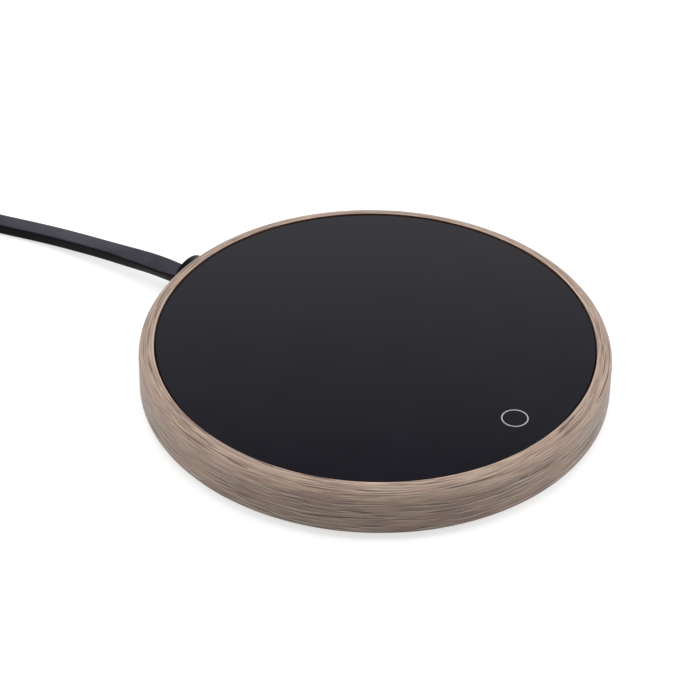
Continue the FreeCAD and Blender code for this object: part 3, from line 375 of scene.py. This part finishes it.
def round_the_ring(tree, size, shift=0.0):
    """A seamless place on the ring in units of a mark's size: the direction from the axis
    times the ring's radius over the mark's length, and height less radius, moved by a shift,
    over its width."""
    along, across = size
    where = add(tree, "TexCoord").outputs["Object"]
    flat = add(tree, "VectorMath", {0: where, 1: (1, 1, 0)}, operation="MULTIPLY")
    direction = add(tree, "VectorMath", {0: flat.outputs["Vector"]}, operation="NORMALIZE")
    turned = add(tree, "VectorMath", {0: direction.outputs["Vector"],
                                      "Scale": RING_RADIUS / along}, operation="SCALE")
    distance = add(tree, "VectorMath", {0: flat.outputs["Vector"]}, operation="LENGTH")
    height = add(tree, "SeparateXYZ", {0: where}).outputs["Z"]
    level = add(tree, "Math", {0: height, 1: distance.outputs["Value"]}, operation="SUBTRACT")
    moved = add(tree, "Math", {0: level.outputs[0], 1: shift * MM}, operation="ADD")
    scaled = add(tree, "Math", {0: moved.outputs[0], 1: 1 / (across * MM)}, operation="MULTIPLY")
    lifted = add(tree, "CombineXYZ", {"Z": scaled.outputs[0]})
    return add(tree, "VectorMath", {0: turned.outputs["Vector"], 1: lifted.outputs["Vector"]},
               operation="ADD").outputs["Vector"]


def grain(tree, size, detail, levels, spread=(0.0, 1.0), shift=0.0):
    """A noise of that mark's size, with its low and high levels spread to a least and a
    most."""
    noise = add(tree, "TexNoise", {"Vector": round_the_ring(tree, size, shift),
                                   "Scale": 1.0, "Detail": detail}).outputs["Fac"]
    return add(tree, "MapRange", {"Value": noise, "From Min": levels[0], "From Max": levels[1],
                                  "To Min": spread[0], "To Max": spread[1]}).outputs["Result"]


def product(tree, *factors):
    """The factors multiplied together."""
    total = factors[0]
    for factor in factors[1:]:
        total = add(tree, "Math", {0: total, 1: factor}, operation="MULTIPLY").outputs[0]
    return total


# Weathered ash: beige and grey with tan and pink patches, fine fibres, and open pores that
# show as a dark line with a painted highlight beside it. Its raised fibres give it a dull
# sheen at the edges, its recess wall has painted shade in dark brown, and the edge there has
# a painted highlight.
WOOD_TINTS = [(0.30, colour("a58a80")), (0.42, colour("b59b8d")), (0.50, colour("c0a594")),
              (0.57, colour("c4ad98")), (0.64, colour("c9b1a4")), (0.76, colour("dac6b7"))]
# The painted highlight beside the pores
HIGHLIGHT_TONE = colour("d6c6ba")
# The painted shade on the recess wall
RECESS_SHADE_TONE = colour("553526")
wood, tree, shader = material("weathered_ash", 0.62)
shader.inputs["Sheen Weight"].default_value = 0.35
shader.inputs["Sheen Roughness"].default_value = 0.35
patches = add(tree, "TexNoise", {"Vector": round_the_ring(tree, PATCH), "Scale": 1.0,
                                 "Detail": 4.0, "Roughness": 0.6}).outputs["Fac"]
tint = add(tree, "ValToRGB", {"Fac": patches}, stops=WOOD_TINTS).outputs["Color"]
fibres = grain(tree, FIBRE, detail=2.0, levels=(0.32, 0.68), spread=(0.74, 1.22))
pores = grain(tree, PORE, detail=1.0, levels=(0.58, 0.625))
# Painted highlight: a pale line beside each pore, as on a pore's lit edge
pore_highlights = grain(tree, PORE, detail=1.0, levels=(0.58, 0.63), spread=(0.0, 0.5),
                   shift=HIGHLIGHT_SHIFT)
cracks = grain(tree, CRACK, detail=1.0, levels=(0.63, 0.665))
waver = grain(tree, WAVER, detail=1.0, levels=(NOISE_LOW, NOISE_HIGH),
              spread=(-WAVER_REACH * MM, WAVER_REACH * MM))
place = add(tree, "TexCoord").outputs["Object"]
flat = add(tree, "VectorMath", {0: place, 1: (1, 1, 0)}, operation="MULTIPLY")
from_axis = add(tree, "VectorMath", {0: flat.outputs["Vector"]}, operation="LENGTH"
                ).outputs["Value"]
height = add(tree, "SeparateXYZ", {0: place}).outputs["Z"]
wavering_height = add(tree, "Math", {0: height, 1: waver}).outputs[0]
sanded_lit_band = add(tree, "MapRange", {"Value": wavering_height, "From Min": SANDED_LIT_BAND[0] * MM,
                                "From Max": SANDED_LIT_BAND[1] * MM}).outputs["Result"]
# Painted shade: the side is darker towards the bottom
painted_low_shade = add(tree, "MapRange", {"Value": height, "From Min": RING_BOTTOM * MM,
                                   "From Max": SIDE_TOP * MM,
                                   "To Min": 0.70, "To Max": 0.88}).outputs["Result"]
# Painted light: the sanded top band is lighter than the side, as lit from above
painted_top_light = add(tree, "MapRange", {"Value": sanded_lit_band, "To Min": 0.88, "To Max": 0.96}
                ).outputs["Result"]
crack_shade = add(tree, "MapRange", {"Value": cracks, "To Min": 1.0, "To Max": 0.46}
                  ).outputs["Result"]
pore_depth = add(tree, "MapRange", {"Value": sanded_lit_band, "To Min": 0.42, "To Max": 0.20}
                 ).outputs["Result"]
pore_shade = add(tree, "Math", {0: 1.0, 1: product(tree, pores, pore_depth)},
                 operation="SUBTRACT").outputs[0]
# Painted highlight: a pale band along the inner top edge, by the recess
painted_edge_highlight = add(tree, "MapRange", {"Value": from_axis, "From Min": (RECESS_RADIUS + EDGE_HIGHLIGHT[0]) * MM,
                              "From Max": (RECESS_RADIUS + EDGE_HIGHLIGHT[1]) * MM,
                              "To Min": 1.4, "To Max": 1.0}).outputs["Result"]
shade = product(tree, fibres, pore_shade, crack_shade, painted_low_shade, painted_top_light, painted_edge_highlight)
shaded = add(tree, "VectorMath", {0: tint, "Scale": shade}, operation="SCALE").outputs["Vector"]
between_pores = add(tree, "Math", {0: 1.0, 1: pores}, operation="SUBTRACT").outputs[0]
pore_highlight_mask = product(tree, pore_highlights, between_pores)
sawn = add(tree, "Mix", {0: pore_highlight_mask, 6: shaded, 7: HIGHLIGHT_TONE}, data_type="RGBA").outputs[2]
# Painted shade: the recess wall is dark brown
in_recess = add(tree, "MapRange", {"Value": from_axis,
                                   "From Min": (RECESS_RADIUS + RECESS_SHADE[0]) * MM,
                                   "From Max": (RECESS_RADIUS + RECESS_SHADE[1]) * MM,
                                   "To Min": 1.0, "To Max": 0.0}).outputs["Result"]
tree.links.new(add(tree, "Mix", {0: in_recess, 6: sawn, 7: RECESS_SHADE_TONE},
                   data_type="RGBA").outputs[2], shader.inputs["Base Color"])
tree.links.new(add(tree, "MapRange", {"Value": patches, "To Min": 0.52, "To Max": 0.72}
                   ).outputs["Result"], shader.inputs["Roughness"])
fibre_relief = add(tree, "Math", {0: product(tree, fibres, 0.5), 1: pores},
                   operation="SUBTRACT").outputs[0]
raised = add(tree, "Math", {0: fibre_relief, 1: cracks}, operation="SUBTRACT").outputs[0]
tree.links.new(add(tree, "Bump", {"Height": raised, "Strength": 0.8, "Distance": RELIEF * MM}
                   ).outputs["Normal"], shader.inputs["Normal"])
dress(wood, "wood_ring")


# Glass plate, touch mark and gasket
# A round plate of black ceramic glass, ground flat with a satin finish. Its touch mark is a
# printed ring in its surface, and it lies on a thin silicone gasket in the ring's recess.
HAZE_PER_METRE = 60.0
GLASS_ROUGHNESS = (0.14, 0.20)
GLASS_TONES = [(NOISE_LOW, colour("080714")), (NOISE_HIGH, colour("0a0917"))]
# Black ceramic glass: blue-black, mirroring its surround softly, with a haze that varies.
glass, tree, shader = material("ceramic_glass", 0.17)
where = add(tree, "TexCoord").outputs["Object"]
haze = add(tree, "TexNoise", {"Vector": where, "Scale": HAZE_PER_METRE, "Detail": 4.0}
           ).outputs["Fac"]
tree.links.new(add(tree, "ValToRGB", {"Fac": haze}, stops=GLASS_TONES).outputs["Color"],
               shader.inputs["Base Color"])
tree.links.new(add(tree, "MapRange", {"Value": haze, "To Min": GLASS_ROUGHNESS[0],
                                      "To Max": GLASS_ROUGHNESS[1]}).outputs["Result"],
               shader.inputs["Roughness"])
dress(glass, "glass_plate")
# Screen-printed enamel: a thin light grey line, a little uneven in tone.
dress(textured("printed_enamel", "a9a9ab", "c6c6c8", roughness=0.5, grain=0.3, relief=0.004),
      "touch_mark_print")
# Silicone rubber: dark grey and matt, seen as a thin dark line round the glass.
dress(textured("silicone_rubber", "3a3634", "45403d", roughness=0.6, grain=0.8, relief=0.01,
               ior=1.41), "glass_gasket")


# Heater
# A sandwich of two mica sheets with an etched resistance track between them, pressed
# against an aluminium spreader and a soft thermal pad, with felt and a heat shield below.

# Pressed mica: tan and faintly glossy, mottled in flakes of a few millimetres.
dress(textured("mica_sheet", "b59f73", "d2c095", roughness=0.35, grain=2.5, relief=0.02,
               ior=1.58), "upper_mica_sheet", "lower_mica_sheet")
# Resistance foil: dull grey metal with the lines of its rolling.
dress(textured("resistance_foil", "8b8781", "a5a19a", roughness=0.32, grain=0.7, relief=0.004,
               metallic=1.0, stretch=(3, 0.4, 1)), "heating_track")
# Rolled aluminium: pale metal with long fine lines, all one way.
dress(textured("rolled_aluminium", "b9bcc0", "cdd0d4", roughness=0.34, grain=0.5, relief=0.004,
               metallic=1.0, stretch=(8, 0.4, 1)), "heat_spreader", "heat_shield")
# Filled silicone: blue-grey, soft and matt.
dress(textured("thermal_silicone", "7d8b97", "8f9ca7", roughness=0.7, grain=0.9, relief=0.02,
               ior=1.41), "thermal_pad")
# Ceramic felt: off-white, lumpy and quite matt.
dress(textured("ceramic_felt", "dcd8ce", "f0ede4", roughness=0.92, grain=1.2, relief=0.15,
               detail=6.0), "insulation_disc")
# Glass bead: dark brown and glossy.
dress(textured("glass_bead", "2b2523", "4a3a30", roughness=0.15, grain=1.0, relief=0.005,
               ior=1.52), "thermistor")
# Glazed ceramic: cream white with a smooth shine.
dress(textured("glazed_ceramic", "ddd8cb", "eeeae0", roughness=0.28, grain=1.5, relief=0.01,
               ior=1.6), "thermal_fuse", "board_fuse")


# Circuit board
# Green solder mask on a glass-epoxy board cut as an arc, with the mains and sensing parts
# soldered on top and the touch sensor's foam pressed up against the glass.

# Solder mask: a dark green satin lacquer, mottled by the copper under it.
dress(textured("solder_mask", "123c28", "1b5237", roughness=0.36, grain=1.1, relief=0.02,
               ior=1.55), "circuit_board")
# Moulded polyamide: ivory and satin.
dress(textured("terminal_polyamide", "d9d4c4", "e8e4d6", roughness=0.48, grain=0.5,
               relief=0.012), "mains_terminal_block", "heater_terminal_block",
      "thermistor_socket")
# Wound film in resin: mustard yellow with a smooth skin.
dress(textured("capacitor_film", "c99a1d", "dcb036", roughness=0.4, grain=0.6, relief=0.01),
      "film_capacitor")
# Moulded epoxy: charcoal, fine grained and rather matt.
dress(textured("epoxy_package", "17171a", "222226", roughness=0.55, grain=0.3, relief=0.012),
      "controller_chip", "power_switch", "smoothing_capacitor")
# Dipped lacquer: blue, with a slightly uneven gloss.
dress(textured("varistor_lacquer", "1f4e8c", "2b60a4", roughness=0.35, grain=0.9,
               relief=0.015), "varistor")
# Conductive foam: dark grey open cells with no shine.
dress(textured("conductive_foam", "2c2b2d", "454347", roughness=0.95, grain=0.5, relief=0.08,
               detail=6.0), "touch_sensor_foam")
# Frosted acrylic: milky white, as light is spread inside it.
dress(textured("acrylic_guide", "e4e8ea", "f4f7f8", roughness=0.2, grain=1.5, relief=0.004,
               ior=1.49), "light_guide")
# Moulded resin lens: pale yellow and smooth.
dress(textured("led_lens", "e6e2b8", "f3f0cf", roughness=0.25, grain=0.3, relief=0.003,
               ior=1.53), "indicator_light")


# Leads
# Stranded copper in coloured PVC from the cord to the mains terminals, and glass-braid
# sleeves where leads run by the heater. Each is held by its terminals alone.

# Brown PVC: the live lead's smooth satin insulation.
dress(textured("brown_pvc", "5c3420", "6d4029", roughness=0.42, grain=0.6, relief=0.008),
      "live_lead")
# Blue PVC: the neutral lead's, of the same finish.
dress(textured("blue_pvc", "1f4a86", "2a5a9b", roughness=0.42, grain=0.6, relief=0.008),
      "neutral_lead")
# Glass braid: off-white and matt, with a weave of about 0.35 mm.
dress(textured("glass_braid", "d8d4c8", "efece3", roughness=0.75, grain=0.35, relief=0.04),
      "heater_lead_1", "heater_lead_2", "thermistor_leads")


# Screws, clip and feet
# Zinc-plated steel screws hold the cover, the shield, the board and the cord's clamp, and
# four soft rubber feet are glued in the cover.

# Zinc-plated steel: grey satin metal, lightly mottled.
dress(textured("zinc_plated_steel", "9c9fa4", "b6b9bd", roughness=0.3, grain=0.4, relief=0.005,
               metallic=1.0), "base_screws", "shield_screws", "board_screws", "clamp_screws",
      "thermal_fuse_clip")
# Moulded rubber: charcoal and quite matt.
dress(textured("foot_rubber", "232224", "2e2d2f", roughness=0.82, grain=0.5, relief=0.02,
               ior=1.52), "rubber_foot_1", "rubber_foot_2", "rubber_foot_3", "rubber_foot_4")


# Floor, backdrop and light
# White paper seen as white, which keeps the soft shadow, under three softboxes and in a
# surround that is bright at the horizon and dim above, as in a small studio tent.

# In metres
FLOOR_SIZE = 4.0
FLOOR_DROP = 0.0002
# As shares of white: the paper's own grey, its glow, and the surround's light on the object
FLOOR_GREY = 0.55
FLOOR_GLOW = 0.66
EVEN_LIGHT = 0.22


def in_picture(tree):
    """1 for rays from the camera, off gloss and through glass, and 0 for all others."""
    seen = add(tree, "LightPath").outputs
    shown = add(tree, "Math", {0: seen["Is Camera Ray"], 1: seen["Is Glossy Ray"]},
                operation="MAXIMUM").outputs[0]
    return add(tree, "Math", {0: shown, 1: seen["Is Transmission Ray"]},
               operation="MAXIMUM").outputs[0]


half = FLOOR_SIZE / 2
floor_mesh = bpy.data.meshes.new("floor")
floor_mesh.from_pydata([(-half, -half, -FLOOR_DROP), (half, -half, -FLOOR_DROP),
                        (half, half, -FLOOR_DROP), (-half, half, -FLOOR_DROP)],
                       [], [(0, 1, 2, 3)])
floor = bpy.data.objects.new("floor", floor_mesh)
bpy.context.scene.collection.objects.link(floor)
# White paper: quite matt, glowing just enough to be seen as white outside the shadow, and
# clear from below.
paper, tree, shader = material("white_paper", 0.9)
shader.inputs["Base Color"].default_value = (FLOOR_GREY, FLOOR_GREY, FLOOR_GREY, 1)
shader.inputs["Specular IOR Level"].default_value = 0.0
glow = add(tree, "Emission", {"Strength": product(tree, in_picture(tree), FLOOR_GLOW)})
both = add(tree, "AddShader", {0: shader.outputs[0], 1: glow.outputs[0]})
under = add(tree, "NewGeometry").outputs["Backfacing"]
one_sided = add(tree, "MixShader", {0: under, 1: both.outputs[0],
                                    2: add(tree, "BsdfTransparent").outputs[0]})
tree.links.new(one_sided.outputs[0], tree.nodes["Material Output"].inputs["Surface"])
floor_mesh.materials.append(paper)

# Each softbox: name, place, width and height in metres, and power in watts. The two at the
# sides stand to the left and right of the object as the camera sees it. None shows in a
# reflection, so the glass mirrors the surround alone.
SOFTBOXES = [("softbox_above", (0.05, 0.05, 1.3), 1.1, 1.1, 9.0),
             ("softbox_left", (-0.62, 0.75, 0.42), 0.8, 0.6, 5.2),
             ("softbox_right", (0.70, -0.68, 0.42), 0.8, 0.6, 5.8)]
for name, place, width, height, power in SOFTBOXES:
    lamp_data = bpy.data.lights.new(name, "AREA")
    lamp_data.shape = "RECTANGLE"
    lamp_data.size = width
    lamp_data.size_y = height
    lamp_data.energy = power
    lamp = bpy.data.objects.new(name, lamp_data)
    lamp.location = place
    lamp.rotation_euler = (-Vector(place)).to_track_quat("-Z", "Y").to_euler()
    lamp.visible_glossy = False
    bpy.context.scene.collection.objects.link(lamp)

# The surround's brightness by the sine of the angle above the horizon, from the horizon and
# all below it at 0 to straight up at 1
TENT = [(position, (strength, strength, strength, 1)) for position, strength in
        [(0.0, 1.0), (0.50, 1.0), (0.568, 0.62), (0.644, 0.08), (0.72, 0.0)]]
world = bpy.data.worlds.new("studio")
bpy.context.scene.world = world
world.use_nodes = True
tree = world.node_tree
height = add(tree, "SeparateXYZ", {0: add(tree, "TexCoord").outputs["Generated"]}).outputs["Z"]
brightness = add(tree, "ValToRGB", {"Fac": height}, stops=TENT).outputs["Color"]
backdrop = add(tree, "Background", {"Color": brightness, "Strength": 1.0})
even = add(tree, "Background", {"Color": (1, 1, 1, 1), "Strength": EVEN_LIGHT})
mixed = add(tree, "MixShader", {0: in_picture(tree), 1: even.outputs[0],
                                2: backdrop.outputs[0]})
tree.links.new(mixed.outputs[0], tree.nodes["World Output"].inputs["Surface"])

bpy.context.scene.view_settings.view_transform = "Standard"
